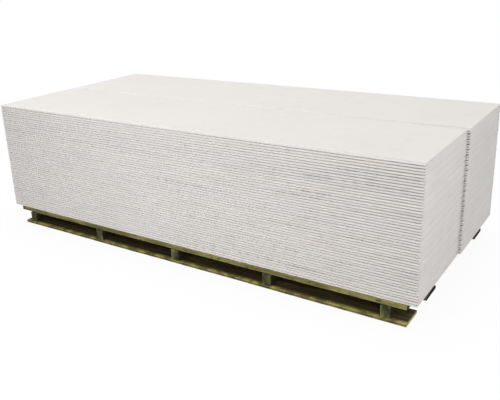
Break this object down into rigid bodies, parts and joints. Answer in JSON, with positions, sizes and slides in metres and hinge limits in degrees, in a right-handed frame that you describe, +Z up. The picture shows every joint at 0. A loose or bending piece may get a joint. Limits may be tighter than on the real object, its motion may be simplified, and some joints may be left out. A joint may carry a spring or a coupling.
{
  "type": "pallet of drywall sheets",
  "caption": "Timber pallet loaded with side-by-side stacks of drywall sheets that have tapered, rounded long edges and square-cut ends, with fork spaces between its bearers.",
  "frame": {"origin": "on the floor, under the middle of the load's box", "axes": "+X along the sheets' length, +Y across them from the front stack to the rear stack, +Z up"},
  "size_m": [2.6064, 1.2152, 0.7397],
  "materials": {
    "board_paper": "matt white liner paper",
    "pallet_timber": "rough-sawn softwood, pressure-treated green and weathered"
  },
  "bodies": {
    "root": {"bearer_1": "pallet_timber", "bearer_2": "pallet_timber", "bearer_3": "pallet_timber", "bearer_4": "pallet_timber", "bearer_5": "pallet_timber", "bottom_board_1": "pallet_timber", "bottom_board_2": "pallet_timber", "bottom_board_3": "pallet_timber", "bottom_board_4": "pallet_timber", "bottom_board_5": "pallet_timber", "front_bottom_sheet": "board_paper", "front_sheets_02_05": "board_paper", "front_sheets_06_09": "board_paper", "front_sheets_10_13": "board_paper", "front_sheets_14_17": "board_paper", "front_sheets_18_21": "board_paper", "front_sheets_22_25": "board_paper", "front_sheets_26_29": "board_paper", "front_sheets_30_33": "board_paper", "front_sheets_34_37": "board_paper", "front_sheets_38_41": "board_paper", "front_sheets_42_45": "board_paper", "front_sheets_46_49": "board_paper", "front_top_sheet": "board_paper", "rear_bottom_sheet": "board_paper", "rear_sheets_02_05": "board_paper", "rear_sheets_06_09": "board_paper", "rear_sheets_10_13": "board_paper", "rear_sheets_14_17": "board_paper", "rear_sheets_18_21": "board_paper", "rear_sheets_22_25": "board_paper", "rear_sheets_26_29": "board_paper", "rear_sheets_30_33": "board_paper", "rear_sheets_34_37": "board_paper", "rear_sheets_38_41": "board_paper", "rear_sheets_42_45": "board_paper", "rear_sheets_46_49": "board_paper", "rear_top_sheet": "board_paper", "top_board_1": "pallet_timber", "top_board_2": "pallet_timber", "top_board_3": "pallet_timber", "top_board_4": "pallet_timber", "top_board_5": "pallet_timber"}
  },
  "joints": []
}
